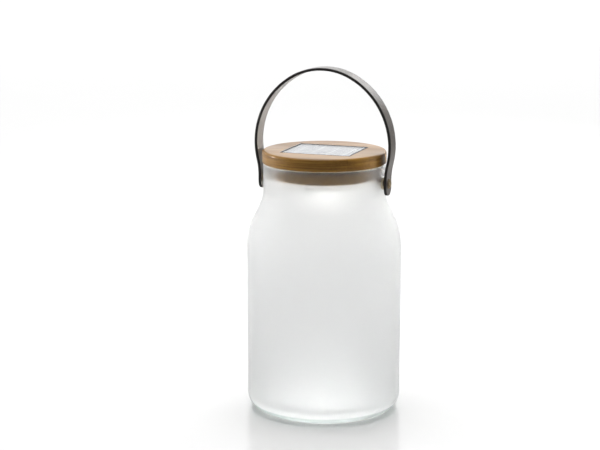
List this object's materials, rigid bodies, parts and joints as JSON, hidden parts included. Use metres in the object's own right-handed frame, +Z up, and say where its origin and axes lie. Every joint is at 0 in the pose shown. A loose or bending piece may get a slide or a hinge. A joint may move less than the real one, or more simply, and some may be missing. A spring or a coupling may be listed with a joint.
{
  "type": "jar lantern",
  "caption": "Frosted glass jar lantern with a bamboo plug lid that carries a solar panel and a light module, and a leather strap that swings over it as a handle.",
  "frame": {"origin": "middle of the jar's base, on the surface it stands on", "axes": "+Z up along the jar's axis, X along the line through the strap's two rivets, with the strap's arch in the XZ plane"},
  "size_m": [0.115, 0.115, 0.2567],
  "materials": {
    "frosted_glass": "frosted",
    "antique_brass": "aged satin",
    "silicone": "translucent matte",
    "leather": "waxed with dark cut edges",
    "bamboo": "carbonised, satin",
    "panel_cover": "polished",
    "panel_backing": "matte",
    "solar_cell": "polished",
    "foam_tape": "matte",
    "lead_wire": "matte",
    "white_plastic": "matte",
    "steel": "satin",
    "circuit_board": "solder mask",
    "component": "matte",
    "emitter": "phosphor",
    "black_plastic": "matte",
    "battery_sleeve": "gloss",
    "diffuser": "opal"
  },
  "bodies": {
    "jar": {"glass_jar": "frosted_glass", "rivet_posts": "antique_brass", "rivet_screws": "antique_brass", "inner_washers": "silicone", "spacer_washers": "antique_brass", "hole_grommets": "silicone"},
    "handle": {"leather_strap": "leather"},
    "seal": {"lid_seal": "silicone"},
    "lid": {"bamboo_disc": "bamboo", "bamboo_plug": "bamboo", "panel_cover": "panel_cover", "panel_backing": "panel_backing", "solar_cells": "solar_cell", "panel_tape": "foam_tape", "panel_leads": "lead_wire", "module_housing": "white_plastic", "housing_screws": "steel", "circuit_board": "circuit_board", "board_components": "component", "led_emitters": "emitter", "battery_holder": "black_plastic", "battery_cell": "battery_sleeve", "battery_contacts": "steel", "cover_plate": "white_plastic", "cover_screws": "steel", "diffuser_lens": "diffuser", "reflector_ring": "white_plastic", "switch_body": "black_plastic"},
    "switch": {"switch_slider": "black_plastic"}
  },
  "joints": [
    {"name": "handle_swing", "type": "hinge", "parent": "jar", "child": "handle", "pos_m": [0, 0, 0.173], "axis": [1, 0, 0], "range_deg": [-126, 126]},
    {"name": "lid_lift", "type": "slide", "parent": "jar", "child": "seal", "axis": [0, 0, 1], "range_m": [0, 0.024]},
    {"name": "lid_turn", "type": "hinge", "parent": "seal", "child": "lid", "pos_m": [0, 0, 0.1866], "axis": [0, 0, 1], "continuous": true},
    {"name": "switch_slide", "type": "slide", "parent": "lid", "child": "switch", "axis": [1, 0, 0], "range_m": [0, 0.002]}
  ]
}
